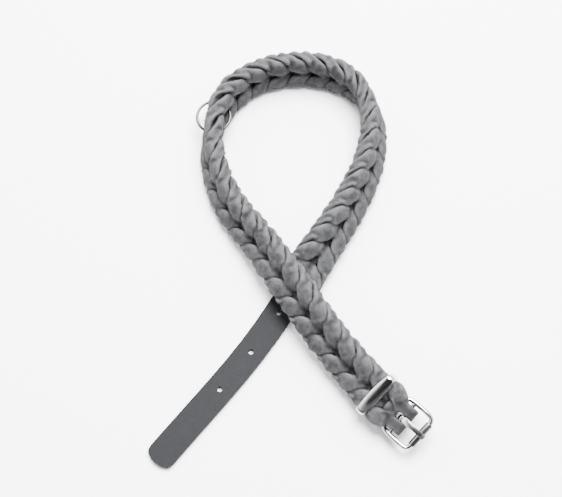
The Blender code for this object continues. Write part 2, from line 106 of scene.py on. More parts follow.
world = bpy.data.worlds.new("studio_sky")
bpy.context.scene.world = world
world.use_nodes = True
sky_nodes = world.node_tree.nodes
sky_links = world.node_tree.links
sky_direction = sky_nodes.new("ShaderNodeTexCoord")
sky_height = sky_nodes.new("ShaderNodeSeparateXYZ")
sky_ramp = sky_nodes.new("ShaderNodeValToRGB")
sky_bands = sky_ramp.color_ramp.elements
sky_bands[0].position = SKY_BANDS[0][0]
sky_bands[0].color = (*[SKY_BANDS[0][1]] * 3, 1.0)
sky_bands[1].position = SKY_BANDS[1][0]
sky_bands[1].color = (*[SKY_BANDS[1][1]] * 3, 1.0)
for height, brightness in SKY_BANDS[2:]:
    sky_bands.new(height).color = (*[brightness] * 3, 1.0)
sky_links.new(sky_direction.outputs["Generated"], sky_height.inputs[0])
sky_links.new(sky_height.outputs["Z"], sky_ramp.inputs["Fac"])
sky_side = sky_nodes.new("ShaderNodeMapRange")
sky_side.inputs["From Min"].default_value = -0.6
sky_side.inputs["From Max"].default_value = 0.5
sky_side.inputs["To Min"].default_value = SKY_FRONT
sky_links.new(sky_height.outputs["Y"], sky_side.inputs["Value"])
sky_tint = sky_nodes.new("ShaderNodeVectorMath")
sky_tint.operation = "SCALE"
sky_links.new(sky_ramp.outputs["Color"], sky_tint.inputs[0])
sky_links.new(sky_side.outputs[0], sky_tint.inputs["Scale"])
sky_links.new(sky_tint.outputs[0], sky_nodes["Background"].inputs["Color"])
sky_nodes["Background"].inputs["Strength"].default_value = SKY_STRENGTH

bpy.ops.object.light_add(type="AREA", location=LAMP_PLACE)
lamp = bpy.context.object
lamp.name = "soft_lamp"
lamp.data.shape = "DISK"
lamp.data.size = LAMP_SIZE
lamp.data.energy = LAMP_POWER
lamp.rotation_euler = (-Vector(LAMP_PLACE)).to_track_quat("-Z", "Y").to_euler()

# %% [markdown]
# A few helpers. Operators act on what is selected, and the loaded model leaves its pieces
# selected, so each step first selects just the piece that it works on.

# %% Helpers
MERGE_REACH = 0.00001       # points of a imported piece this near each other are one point


def pick(obj):
    if bpy.context.object and bpy.context.object.mode != "OBJECT":
        bpy.ops.object.mode_set(mode="OBJECT")
    bpy.ops.object.select_all(action="DESELECT")
    obj.select_set(True)
    bpy.context.view_layer.objects.active = obj
    return obj


def cad_copy(node, name):
    """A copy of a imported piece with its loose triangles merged."""
    obj = bpy.data.objects.new(name, frame["nodes"][node].data.copy())
    bpy.context.scene.collection.objects.link(obj)
    obj.data.materials.clear()
    pick(obj)
    bpy.ops.object.mode_set(mode="EDIT")
    bpy.ops.mesh.select_all(action="SELECT")
    bpy.ops.mesh.remove_doubles(threshold=MERGE_REACH)
    bpy.ops.object.mode_set(mode="OBJECT")
    return obj


def apply_modifier(obj, name, kind, **settings):
    modifier = obj.modifiers.new(name, kind)
    for key, value in settings.items():
        setattr(modifier, key, value)
    pick(obj)
    bpy.ops.object.modifier_apply(modifier=name)


def points_of(obj):
    values = np.zeros(len(obj.data.vertices) * 3)
    obj.data.vertices.foreach_get("co", values)
    return values.reshape(-1, 3)


def triangles(obj):
    return sum(len(face.vertices) - 2 for face in obj.data.polygons)


def finish(obj, body, slot, *nodes):
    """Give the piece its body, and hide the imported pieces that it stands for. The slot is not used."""
    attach(obj, body)
    if nodes:
        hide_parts(*nodes)
    print(obj.name, triangles(obj), "triangles")


# %% [markdown]
# The collar is a band of two straps, each slit along its middle. Each strap passes through the
# other's slit, parts into two legs, runs out to both edges and closes again on the other side.
# To lay anything on the braid, the script needs the band's own frame: its middle line, its
# travel, and the directions across it and out of it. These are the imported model's own route
# points and sizes.

# %% The band's route
COLLAR_LENGTH = 0.528       # tail end to buckle fold
STRAP_WIDTH = 0.015
LEATHER = 0.0025
TAIL_LENGTH = 0.1165
PLY_HEIGHT = 0.0031         # middle of the band to the middle of a strap
BEND_RADIUS = 0.0022
LEG_REACH = 0.0097          # middle of the band to a leg at its edge
LEG_PINCH = 0.25
STITCH_PITCH = 0.0120
FIRST_SPLIT = 0.0068        # buckle fold to the first split
BRAID_RUN_IN = 0.85
RING_CHEVRON = 16
RING_ROOM = 0.0016
ROUTE = [
    # share of the length, heading, lean, lift in leather thicknesses
    (0.000, 50.0, 90.0, 0.0),
    (0.060, 49.0, 90.0, 0.0),
    (0.120, 51.0, 90.0, 0.0),
    (0.180, 56.5, 88.0, 0.0),
    (0.225, 56.0, 85.0, 0.0),
    (0.270, 55.5, 51.0, 0.0),
    (0.320, 61.5, 39.0, 0.0),
    (0.370, 74.5, 30.0, 0.0),
    (0.420, 103.0, 17.0, 0.0),
    (0.465, 146.0, -8.0, 0.0),
    (0.510, 177.5, -15.0, 0.0),
    (0.555, 201.0, -14.0, 0.0),
    (0.600, 234.0, -14.0, 0.0),
    (0.650, 268.5, 10.0, 0.0),
    (0.700, 291.5, 26.0, 0.0),
    (0.745, 308.0, 35.0, 0.3),
    (0.790, 303.5, 43.0, 1.6),
    (0.830, 304.0, 50.0, 2.6),
    (0.875, 306.5, 50.0, 1.5),
    (0.925, 310.5, 55.0, 0.6),
    (0.965, 315.0, 73.0, 1.0),
    (1.000, 317.5, 80.0, 1.1),
]
EDGE_CORNERS = [
    # share of the way out and down of a leg's stations, and how far it has rolled, in degrees
    (0.00, 0.00, 0.0),
    (0.47, 0.01, 10.0),
    (0.57, 0.06, 18.0),
    (0.95, 0.34, 76.0),
    (1.00, 0.73, 89.0),
    (1.00, 1.00, 90.0),
]


def column(number, shares):
    """A ROUTE column at each share of the length, on a smooth cubic through its rows."""
    at = np.array([row[0] for row in ROUTE])
    values = np.array([row[number] for row in ROUTE])
    slopes = np.gradient(values, at)
    row = np.clip(np.searchsorted(at, shares, side="right") - 1, 0, len(at) - 2)
    span = at[row + 1] - at[row]
    t = (shares - at[row]) / span
    return (
        values[row] * (1 + 2 * t) * (1 - t) ** 2
        + slopes[row] * span * t * (1 - t) ** 2
        + values[row + 1] * t * t * (3 - 2 * t)
        + slopes[row + 1] * span * t * t * (t - 1)
    )


def half_height(lean, along):
    """Half the height of the band when it leans this much."""
    rise, reach = np.abs(np.cos(lean)), np.abs(np.sin(lean))
    braid = np.zeros_like(lean)
    for out, drop, roll in EDGE_CORNERS:
        across = STRAP_WIDTH / 4 + out * (LEG_REACH - STRAP_WIDTH / 4)
        above = PLY_HEIGHT * (1.0 - drop)
        turn = math.radians(roll)
        wide = STRAP_WIDTH / 4 * (1.0 - LEG_PINCH * math.sin(turn))
        far = across + wide * math.cos(turn) + LEATHER / 2 * math.sin(turn)
        high = above + wide * math.sin(turn) + LEATHER / 2 * math.cos(turn)
        near = across + wide * math.cos(turn) - LEATHER / 2 * math.sin(turn)
        outer = far * rise + (above - wide * math.sin(turn)) * reach
        inner = near * rise + high * reach
        braid = np.maximum(braid, np.maximum(outer, inner))
    braided = np.clip((along - TAIL_LENGTH) / STITCH_PITCH + BRAID_RUN_IN, 0.0, 1.0)
    strap = STRAP_WIDTH / 2 * rise + LEATHER / 2 * reach
    return strap + (braid - strap) * braided


ROUTE_STEPS = 1056

shares = np.linspace(0.0, 1.0, ROUTE_STEPS + 1)
route_heading = np.radians(column(1, shares))
route_lean = np.radians(column(2, shares))
route_along = shares * COLLAR_LENGTH
step = route_along[1]
turned = (route_heading[1:] + route_heading[:-1]) / 2
route_x = np.concatenate([[0.0], np.cumsum(np.cos(turned) * step)])
route_y = np.concatenate([[0.0], np.cumsum(np.sin(turned) * step)])
route_z = half_height(route_lean, route_along) + column(3, shares) * LEATHER


def band_frame(back):
    """Middle, travel, width and outward directions at these distances back from the fold."""
    along = COLLAR_LENGTH - np.asarray(back)
    heading = np.interp(along, route_along, route_heading)
    lean = np.interp(along, route_along, route_lean)
    places = [np.interp(along, route_along, values) for values in (route_x, route_y, route_z)]
    middle = np.stack(places, axis=-1)
    travel = np.stack([np.cos(heading), np.sin(heading), 0 * heading], axis=-1)
    left = np.stack([-np.sin(heading), np.cos(heading), 0 * heading], axis=-1)
    up = np.array([0.0, 0.0, 1.0])
    width = up * np.cos(lean)[..., None] + left * np.sin(lean)[..., None]
    outward = up * np.sin(lean)[..., None] - left * np.cos(lean)[..., None]
    return middle, travel, width, outward


joints = {joint["name"]: joint for joint in frame["joints"]}
bar_middle = Vector(joints["prong_swing"]["pos_m"])
bar_back = PLY_HEIGHT + LEATHER / 2
roller_middle = Vector(joints["roller_spin"]["pos_m"])
along_bar = Vector(joints["prong_swing"]["axis"]).normalized()
forward = (roller_middle - bar_middle).normalized()
buckle_turn = Matrix((along_bar, forward, along_bar.cross(forward))).transposed()
route_offset = np.array(bar_middle) - band_frame(bar_back)[0]
print("the route starts at", [round(value * 1000, 2) for value in route_offset], "mm")

# %% [markdown]
# The smooth tail is cut from the long strap first, because it has another finish and needs
# crisper edges. A low box round the tail does it: what lies inside the box becomes the tail,
# and the rest stays braid. The box is lower than the leg of the collar that crosses above.

# %% Split the long strap
TAIL_CUT = 0.1115           # from the tail end, under the crossing
CUTTER_HALF_WIDTH = 0.0105
CUTTER_LOW = -0.002
CUTTER_TOP = 0.0059


def route_point(along):
    middle = band_frame(COLLAR_LENGTH - along)[0] + route_offset
    return Vector((middle[0], middle[1], 0.0))


def tail_cutter():
    """A box from beyond the tail's end to the cut, wide enough for the tail's slight curve."""
    start = route_point(0.0)
    end = route_point(TAIL_CUT)
    direction = (end - start).normalized()
    start = start - direction * CUTTER_HALF_WIDTH
    bpy.ops.mesh.primitive_cube_add(
        size=1.0,
        location=(start + end) / 2 + Vector((0.0, 0.0, (CUTTER_LOW + CUTTER_TOP) / 2)),
        rotation=(0.0, 0.0, math.atan2(direction.y, direction.x)),
    )
    box = bpy.context.object
    box.scale = ((end - start).length, 2 * CUTTER_HALF_WIDTH, CUTTER_TOP - CUTTER_LOW)
    bpy.ops.object.transform_apply(location=True, rotation=True, scale=True)
    return box


long_braid = cad_copy("long_strap", "long_braid")
tail = cad_copy("long_strap", "smooth_tail")
short_braid = cad_copy("short_strap", "short_braid")
cutter = tail_cutter()
apply_modifier(long_braid, "cut_tail_off", "BOOLEAN", operation="DIFFERENCE", solver="EXACT", object=cutter)
apply_modifier(tail, "keep_tail", "BOOLEAN", operation="INTERSECT", solver="EXACT", object=cutter)
bpy.data.objects.remove(cutter)
print("tail", len(tail.data.vertices), "points, long braid", len(long_braid.data.vertices))

# %% [markdown]
# Every leg of the braid bulges where it shows: slit leather rounds over as it is pulled tight.
# Each visible leg is like a plump leaf, tucked in at the middle and full at the band's edge. So
# one leaf is modelled from a rounded cube, and a copy with its own mesh is laid along each leg
# on both faces of the band. The copies then join the strap that they belong to.

# %% One leaf
LEAF_STEPS = 3
LEAF_SQUARENESS = 0.62      # below 1 gives the oval fuller ends
LEAF_FULLNESS = 0.88
LEAF_HALF_WIDTH = 0.0046
LEAF_HALF_HEIGHT = 0.0017
LEAF_TIP_WIDTH = 0.60       # share of the width that is left at the tucked tip

bpy.ops.mesh.primitive_cube_add(size=2.0)
leaf = bpy.context.object
leaf.name = "leaf"
apply_modifier(leaf, "round", "SUBSURF", levels=LEAF_STEPS, render_levels=LEAF_STEPS)
apply_modifier(leaf, "ball", "CAST", factor=1.0, radius=1.0, size=0.0, use_radius_as_size=False)
leaf_points = points_of(leaf)
leaf_points /= np.abs(leaf_points).max()
leaf_points[:, 0] = np.sign(leaf_points[:, 0]) * np.abs(leaf_points[:, 0]) ** LEAF_SQUARENESS
leaf_points[:, 1] = np.sign(leaf_points[:, 1]) * np.abs(leaf_points[:, 1]) ** LEAF_FULLNESS
leaf_share = (leaf_points[:, 0] + 1.0) / 2
print("one leaf has", len(leaf_points), "points")

# %% [markdown]
# A leaf's own line starts under the leaf before it, near the middle of the band. It rises to
# the band's face, runs out to the edge one chevron further back, and turns down over the edge.

# %% Lay the leaves
LEAF_START = -0.0032        # the tucked tip, against the place where the leg begins
LEAF_RUN = 1.30             # length along the band, in chevrons
LEAF_INNER = 0.0001         # across the band at the tip
LEAF_OUTER = 0.0096         # across the band at the full end
LEAF_CREST = 0.0031         # above the middle of the band
OUTWARD_EASE = 0.85         # below 1 the leaf runs outwards soonest at its start
TIP_SHARE = 0.38            # share of the leaf's length over which the tip rises
TIP_DROP = 0.0025
TIP_WIDENING = 0.40         # share of the length at which the leaf has its full width
END_SHARE = 0.40            # share of the length over which the end turns down
END_DROP = 0.0030
END_ROLL = 68.0
BUCKLE_START = -0.0005      # the first leaves run beside the slot for the prong
BUCKLE_INNER = 0.0045
RING_SWELL = 1.22           # the leaves by the leash ring are fuller, and close over its wire
LEAF_UNEVENNESS = 0.07
LEAF_SEED = 11

CORE_VOXEL = 0.0008         # the strap under the leaves is rounded first
CORE_ROUNDS = 14
FOLD_REACH = 0.0125         # the leather this near the centre bar keeps its cut edges
FOLD_SHARE = 0.15
BRIDGE = (0.0084, 0.0150, 0.0046, 0.0022)   # closes the fold: from, to, width, height
FILLER_MARGIN = 0.0025
FILLER_INSIDE = 0.0026      # half width of the leather that fills the middle of the braid

leaf_luck = np.random.default_rng(LEAF_SEED)


def leaf_line(share, inner):
    """Across and out of the band at each share of a leaf's length, and its roll."""
    across = inner + (LEAF_OUTER - inner) * share ** OUTWARD_EASE
    tip = np.clip(1.0 - share / TIP_SHARE, 0.0, 1.0) ** 2
    end = np.clip((share - (1.0 - END_SHARE)) / END_SHARE, 0.0, 1.0) ** 2
    out = LEAF_CREST - TIP_DROP * tip - END_DROP * end
    return across, out, np.radians(END_ROLL) * end


def leaf_places(start, run, side, face, begin, inner, swell):
    """World places of one leaf's points; run is negative where the leg runs to the buckle."""
    full, wide, high = 1.0 + leaf_luck.uniform(-LEAF_UNEVENNESS, LEAF_UNEVENNESS, 3)
    wide, high = wide * swell, high * swell
    across, out, roll = leaf_line(leaf_share, inner)
    direction = math.copysign(1.0, run)
    back = start + direction * begin + run * LEAF_RUN * full * leaf_share
    slope = math.atan2(LEAF_OUTER - inner, abs(run) * LEAF_RUN)
    width = leaf_points[:, 1] * LEAF_HALF_WIDTH * wide
    widened = np.minimum(leaf_share / TIP_WIDENING, 1.0)
    width = width * (LEAF_TIP_WIDTH + (1.0 - LEAF_TIP_WIDTH) * widened)
    thick = leaf_points[:, 2] * LEAF_HALF_HEIGHT * high
    flat = width * np.cos(roll) + thick * np.sin(roll)
    out = out - width * np.sin(roll) + thick * np.cos(roll)
    back = back - direction * flat * math.sin(slope)
    across = across + flat * math.cos(slope)
    middle, _, sideways, outward = band_frame(back)
    return middle + route_offset + sideways * (side * across)[:, None] + outward * (face * out)[:, None]


def add_leaf(start, run, side, face, begin=LEAF_START, inner=LEAF_INNER, swell=1.0):
    copy = bpy.data.objects.new("leaf_copy", leaf.data.copy())
    bpy.context.scene.collection.objects.link(copy)
    places = leaf_places(start, run, side, face, begin, inner, swell)
    copy.data.vertices.foreach_set("co", places.ravel())
    if side * face * math.copysign(1.0, run) < 0:
        copy.data.flip_normals()
    return copy


def keep_fold_crisp(obj):
    """A vertex group that is weak near the centre bar and full elsewhere."""
    distance = np.linalg.norm(points_of(obj) - np.array(bar_middle), axis=1)
    group = obj.vertex_groups.new(name="softness")
    group.add(np.flatnonzero(distance >= FOLD_REACH).tolist(), 1.0, "REPLACE")
    group.add(np.flatnonzero(distance < FOLD_REACH).tolist(), FOLD_SHARE, "REPLACE")


def add_filler(start, end, width=FILLER_INSIDE, height=0.0):
    """A leaf along the middle of the braid, so that no light comes through."""
    copy = bpy.data.objects.new("filler", leaf.data.copy())
    bpy.context.scene.collection.objects.link(copy)
    middle, _, sideways, outward = band_frame(start + (end - start) * leaf_share)
    across = leaf_points[:, 1] * width
    out = height + leaf_points[:, 2] * LEAF_HALF_HEIGHT
    places = middle + route_offset + sideways * across[:, None] + outward * out[:, None]
    copy.data.vertices.foreach_set("co", places.ravel())
    return copy


def chevron_starts():
    room = COLLAR_LENGTH - TAIL_LENGTH + BEND_RADIUS - FIRST_SPLIT - 2 * RING_ROOM
    last = 2 * int((room / STITCH_PITCH - 2.0) / 2.0 + 0.5)
    pitch = room / (last + 2)
    starts = [FIRST_SPLIT]
    for number in range(1, last + 3):
        wider = RING_ROOM if number in (RING_CHEVRON, RING_CHEVRON + 1) else 0.0
        starts.append(starts[-1] + pitch + wider)
    return starts


starts = chevron_starts()
leaves = {0: [], 1: []}
for number in range(len(starts) - 2):
    front, edge, rear = starts[number : number + 3]
    swell = RING_SWELL if abs(number + 0.5 - RING_CHEVRON) < 2 else 1.0
    tuck = (LEAF_START, LEAF_INNER, swell) if number else (BUCKLE_START, BUCKLE_INNER)
    leaves[number % 2].append(add_filler(front + FILLER_MARGIN, rear + FILLER_MARGIN))
    for side in (1, -1):
        leaves[number % 2].append(add_leaf(front, edge - front, side, 1, *tuck))
        leaves[number % 2].append(add_leaf(rear, edge - rear, side, -1))
leaves[0].append(add_filler(*BRIDGE))
tucked_start, tucked_edge = starts[-2:]
for side in (1, -1):
    leaves[len(starts) % 2].append(add_leaf(tucked_start, tucked_edge - tucked_start, side, 1))
for strap, own_leaves in ((long_braid, leaves[0]), (short_braid, leaves[1])):
    strap.data.remesh_voxel_size = CORE_VOXEL
    pick(strap)
    bpy.ops.object.voxel_remesh()
    keep_fold_crisp(strap)
    apply_modifier(strap, "core", "SMOOTH", factor=0.5, iterations=CORE_ROUNDS, vertex_group="softness")
    strap.vertex_groups.clear()
    pick(strap)
    for copy in own_leaves:
        copy.select_set(True)
    bpy.ops.object.join()
    print(strap.name, "with", len(own_leaves), "leaves:", triangles(strap), "triangles")
bpy.data.objects.remove(leaf)

# %% [markdown]
# Now each strap is many closed shells that overlap. A voxel remesh turns them into one even
# skin. Smoothing rounds it, a little swelling presses the legs together, and slow noise gives
# it the uneven thickness of real hide. Where the collar rests on the floor it is flattened, and
# at the buckle it is pushed out of the prong's way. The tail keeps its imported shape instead, and
# only its edges are rounded, because a remesh would step along them.

# %% Soften the leather
BRAID_VOXEL = 0.00065
BRAID_SWELL = 0.00020
HIDE_UNEVENNESS = 0.0006
HIDE_WAVE = 0.005
BRAID_ROUNDS = 8
TAIL_EDGE = 0.0004          # width of the tail's burnished edge
FLAT_ENOUGH = 0.2           # degrees between two faces that become one
SHARP_EDGE = 50.0           # degrees from which an edge of the tail is rounded
PRONG_ROOM = 0.00175        # half the width that the prong's eye needs
EYE_ROOM = 0.0040
SWEEP_BACK = 0.0044         # how far behind the bar the raised prong reaches
FLOOR_CLEARANCE = 0.00005

hide_waves = bpy.data.textures.new("hide_waves", "CLOUDS")
hide_waves.noise_scale = HIDE_WAVE
hide_waves.noise_depth = 1

ring_points = points_of(frame["nodes"]["leash_ring"])
ring_middle = (ring_points.max(axis=0) + ring_points.min(axis=0)) / 2
ring_axis = np.linalg.svd(ring_points - ring_points.mean(axis=0), full_matrices=False)[2][2]
ring_heights = (ring_points - ring_middle) @ ring_axis
wire = (ring_heights.max() - ring_heights.min()) / 2
ring_reach = np.linalg.norm(ring_points - ring_middle, axis=1).max() - wire


def clear_prong(places):
    """Keep the leather out of the space in which the prong's eye turns."""
    turn = np.array(buckle_turn)
    local = (places - np.array(bar_middle)) @ turn
    swept = (local[:, 2] > 0.0) & (local[:, 1] > -SWEEP_BACK)
    around = np.linalg.norm(local[:, 1:], axis=1)
    inside = (np.abs(local[:, 0]) < PRONG_ROOM) & ((around < EYE_ROOM) | swept)
    to_side = PRONG_ROOM - np.abs(local[:, 0])
    to_back = np.where(swept, (local[:, 1] + SWEEP_BACK) / 2, PRONG_ROOM / 2)
    beside = inside & (to_side < to_back)
    local[beside, 0] = np.sign(local[beside, 0]) * PRONG_ROOM
    between = inside & ~beside & swept
    local[between, 1] = -SWEEP_BACK
    around = np.linalg.norm(local[:, 1:], axis=1)
    behind = inside & ~beside & (around < EYE_ROOM)
    local[behind, 1:] *= (EYE_ROOM / np.maximum(around[behind], 1e-6))[:, None]
    return local @ turn.T + np.array(bar_middle)


def soften(obj, voxel, rounds, swell, unevenness):
    obj.data.remesh_voxel_size = voxel
    pick(obj)
    bpy.ops.object.voxel_remesh()
    keep_fold_crisp(obj)
    apply_modifier(obj, "round_edges", "SMOOTH", factor=0.5, iterations=rounds, vertex_group="softness")
    obj.vertex_groups.clear()
    apply_modifier(obj, "swell", "DISPLACE", strength=swell, mid_level=0.0)
    apply_modifier(obj, "waves", "DISPLACE", texture=hide_waves, strength=unevenness, mid_level=0.5)
    places = clear_prong(points_of(obj))
    places[:, 2] = np.maximum(places[:, 2], FLOOR_CLEARANCE)
    obj.data.vertices.foreach_set("co", places.ravel())
    obj.data.update()
    bpy.ops.object.shade_smooth()


soften(long_braid, BRAID_VOXEL, BRAID_ROUNDS, BRAID_SWELL, HIDE_UNEVENNESS)
soften(short_braid, BRAID_VOXEL, BRAID_ROUNDS, BRAID_SWELL, HIDE_UNEVENNESS)
pick(tail)
bpy.ops.object.mode_set(mode="EDIT")
bpy.ops.mesh.select_all(action="SELECT")
bpy.ops.mesh.dissolve_limited(angle_limit=math.radians(FLAT_ENOUGH))
bpy.ops.object.mode_set(mode="OBJECT")
sharp = math.radians(SHARP_EDGE)
edge = {"width": TAIL_EDGE, "segments": 3, "limit_method": "ANGLE", "angle_limit": sharp}
apply_modifier(tail, "burnished", "BEVEL", **edge)
bpy.ops.object.shade_smooth_by_angle(angle=sharp)
apply_modifier(tail, "flat_faces", "WEIGHTED_NORMAL", weight=100, keep_sharp=True)
for piece in (long_braid, short_braid, tail):
    print(piece.name, triangles(piece), "triangles")

# %% [markdown]
# Handling rubs the raised parts of napped leather paler, and painted shade darkens the creases
# between the straps. Two things tell them apart: how far a point stands out of the smoothed
# surface, and how near it is to the other strap. On the tail only the edges are paler. The result
# is stored on the points, as an attribute that the material reads.

# %% Mark edges and creases
WEAR_ROUNDS = 14
WEAR_PULL = 0.6             # how far a point moves to its neighbours in each round
WEAR_DEPTH = 0.00034        # how far a fully worn edge stands out
CREASE_SHADE_REACH = 0.0011       # painted shade darkens a crease up to this far from the strap beside it
FOLD_TONE = 0.55            # the leather at the buckle's fold is darker
TAIL_FACE_WEAR = 0.45
TAIL_EDGE_WEAR = 0.55
TAIL_FLAT = 0.96            # normals steeper than this belong to the face
CREASE_SHADE_LEFT = 0.30          # share of the tone that the painted shade leaves in the crease itself


def stands_out(obj, places):
    """How far each point lies outside the skin's own smoothed shape."""
    edges = np.zeros(len(obj.data.edges) * 2, int)
    obj.data.edges.foreach_get("vertices", edges)
    first, second = edges.reshape(-1, 2).T
    count = np.bincount(np.concatenate([first, second]), minlength=len(places))[:, None]
    smooth = places.copy()
    for _ in range(WEAR_ROUNDS):
        total = np.zeros_like(smooth)
        for axis in range(3):
            total[:, axis] = np.bincount(first, smooth[second, axis], len(places))
            total[:, axis] += np.bincount(second, smooth[first, axis], len(places))
        smooth = (1.0 - WEAR_PULL) * smooth + WEAR_PULL * total / np.maximum(count, 1)
    normals = np.zeros(len(places) * 3)
    obj.data.vertices.foreach_get("normal", normals)
    return ((places - smooth) * normals.reshape(-1, 3)).sum(axis=1)


def room_to(obj, places):
    """Distance from each place to the nearest point of the other strap."""
    tree = KDTree(len(obj.data.vertices))
    for vertex in obj.data.vertices:
        tree.insert(vertex.co, vertex.index)
    tree.balance()
    return np.array([tree.find(place)[2] for place in places])


def mark_wear_and_crease_shade(obj, other):
    places = points_of(obj)
    values = np.clip(0.5 + 0.5 * stands_out(obj, places) / WEAR_DEPTH, 0.0, 1.0)
    # Painted shade: points close to the other strap are darkened, as shade falls in the crease between
    # them.
    open_share = np.clip(room_to(other, places) / CREASE_SHADE_REACH, 0.0, 1.0)
    values *= CREASE_SHADE_LEFT + (1.0 - CREASE_SHADE_LEFT) * open_share
    fold = np.clip(np.linalg.norm(places - np.array(bar_middle), axis=1) / FOLD_REACH, 0.0, 1.0)
    store_wear_and_shade(obj, values * (FOLD_TONE + (1.0 - FOLD_TONE) * fold ** 3))


def mark_tail_wear(obj):
    """The face is even, and the burnished edges are paler, so the normals tell them apart."""
    normals = np.zeros(len(obj.data.vertices) * 3)
    obj.data.vertices.foreach_get("normal", normals)
    tilted = np.clip((TAIL_FLAT - np.abs(normals.reshape(-1, 3)[:, 2])) / TAIL_FLAT, 0.0, 1.0)
    store_wear_and_shade(obj, TAIL_FACE_WEAR + TAIL_EDGE_WEAR * tilted)


def store_wear_and_shade(obj, values):
    wear_and_crease_shade = obj.data.attributes.new("wear_and_crease_shade", "FLOAT", "POINT")
    wear_and_crease_shade.data.foreach_set("value", values)
    print(obj.name, "wear from", round(values.min(), 2), "to", round(values.max(), 2))


mark_wear_and_crease_shade(long_braid, short_braid)
mark_wear_and_crease_shade(short_braid, long_braid)
mark_tail_wear(tail)

# %% [markdown]
# Napped leather has a short fuzz that softens its outline. It is modelled, because a bump can't
# change an outline: thousands of tiny closed spikes, three-sided and slightly laid over, are
# scattered over each strap by area, except at the buckle's fold. Their directions and lengths
# come from a seeded generator.

# %% Nap fibres
FIBRE_COUNT = 45000         # on each strap
FIBRE_LENGTH = (0.00045, 0.00120)
FIBRE_RADIUS = 0.00008
FIBRE_ROOT = 0.00006        # how deep a fibre starts under the skin
FIBRE_LAY = 0.9             # how far a fibre leans over, against its upright part
FIBRE_WEAR = 0.62
FIBRE_SEED = 23

fibre_luck = np.random.default_rng(FIBRE_SEED)


def unit(vectors):
    return vectors / np.maximum(np.linalg.norm(vectors, axis=1), 1e-12)[:, None]


def scattered_places(obj, count):
    """Places and normals spread evenly over the skin, but for the worn fold at the buckle."""
    obj.data.calc_loop_triangles()
    corners = np.zeros(len(obj.data.loop_triangles) * 3, int)
    obj.data.loop_triangles.foreach_get("vertices", corners)
    a, b, c = (points_of(obj)[corners.reshape(-1, 3)[:, k]] for k in range(3))
    cross = np.cross(b - a, c - a)
    area = np.linalg.norm(cross, axis=1)
    area *= np.linalg.norm(a - np.array(bar_middle), axis=1) > FOLD_REACH
    chosen = fibre_luck.choice(len(area), count, p=area / area.sum())
    first, second = fibre_luck.random((2, count, 1))
    flip = first + second > 1.0
    first, second = np.where(flip, 1.0 - first, first), np.where(flip, 1.0 - second, second)
    spots = a[chosen] + first * (b - a)[chosen] + second * (c - a)[chosen]
    return spots, unit(cross[chosen])


def grow_fibres(obj, name):
    roots, normals = scattered_places(obj, FIBRE_COUNT)
    sideways = unit(np.cross(normals, fibre_luck.normal(size=normals.shape)))
    direction = unit(normals + FIBRE_LAY * sideways)
    length = fibre_luck.uniform(*FIBRE_LENGTH, (FIBRE_COUNT, 1))
    first = unit(np.cross(direction, normals + 0.3 * sideways + 0.1))
    second = np.cross(direction, first)
    foot = roots - normals * FIBRE_ROOT
    turns = [math.radians(120.0 * k) for k in range(3)]
    corners = [foot + FIBRE_RADIUS * (math.cos(t) * first + math.sin(t) * second) for t in turns]
    tips = roots + direction * length
    tips[:, 2] = np.maximum(tips[:, 2], 0.0)
    points = np.stack([*corners, tips], axis=1).reshape(-1, 3)
    spike = np.array([(0, 2, 1), (0, 1, 3), (1, 2, 3), (2, 0, 3)])
    faces = (np.arange(FIBRE_COUNT)[:, None, None] * 4 + spike).reshape(-1, 3)
    mesh = bpy.data.meshes.new(name)
    mesh.vertices.add(len(points))
    mesh.vertices.foreach_set("co", points.ravel())
    mesh.loops.add(faces.size)
    mesh.loops.foreach_set("vertex_index", faces.ravel())
    mesh.polygons.add(len(faces))
    mesh.polygons.foreach_set("loop_start", np.arange(len(faces)) * 3)
    mesh.update(calc_edges=True)
    wear_and_crease_shade = mesh.attributes.new("wear_and_crease_shade", "FLOAT", "POINT")
    wear_and_crease_shade.data.foreach_set("value", np.full(len(points), FIBRE_WEAR))
    fibres = bpy.data.objects.new(name, mesh)
    bpy.context.scene.collection.objects.link(fibres)
    print(name, len(faces), "triangles")
    return fibres


long_nap = grow_fibres(long_braid, "long_strap_nap")
short_nap = grow_fibres(short_braid, "short_strap_nap")

# %% [markdown]
# Both leathers share one node group. It turns slow noise into a blotchy tone, and quick noise
# into a short nap that also roughens the surface. The shader itself stays in each material.

# %% Leather group
BLOTCH_SCALE = 140.0        # noise features in each metre
NAP_SCALE = 1000.0
GRAIN_SCALE = 4200.0
DARK_TO_BODY = (0.15, 0.52)  # tones between which the dark colour gives way to the body's
BODY_TO_PALE = (0.50, 0.95)
LEATHER_ROUGHNESS = 0.62
NAP_ROUGHNESS = 0.3


def new_group(name, inputs, outputs):
    group = bpy.data.node_groups.new(name, "ShaderNodeTree")
    for title, kind, value in inputs:
        socket = group.interface.new_socket(name=title, in_out="INPUT", socket_type=kind)
        socket.default_value = value
    for title, kind in outputs:
        group.interface.new_socket(name=title, in_out="OUTPUT", socket_type=kind)
    return group, group.nodes.new("NodeGroupInput"), group.nodes.new("NodeGroupOutput")


def add_noise(group, place, scale, detail, roughness=0.55):
    node = group.nodes.new("ShaderNodeTexNoise")
    node.inputs["Scale"].default_value = scale
    node.inputs["Detail"].default_value = detail
    node.inputs["Roughness"].default_value = roughness
    group.links.new(place, node.inputs["Vector"])
    return node.outputs["Fac"]


def add_math(group, operation, first, second):
    node = group.nodes.new("ShaderNodeMath")
    node.operation = operation
    for socket, value in zip(node.inputs, (first, second)):
        if isinstance(value, (int, float)):
            socket.default_value = value
        else:
            group.links.new(value, socket)
    return node.outputs[0]


def add_mix(group, share, first, second):
    node = group.nodes.new("ShaderNodeMix")
    node.data_type = "RGBA"
    group.links.new(share, node.inputs["Factor"])
    group.links.new(first, node.inputs["A"])
    group.links.new(second, node.inputs["B"])
    return node.outputs["Result"]


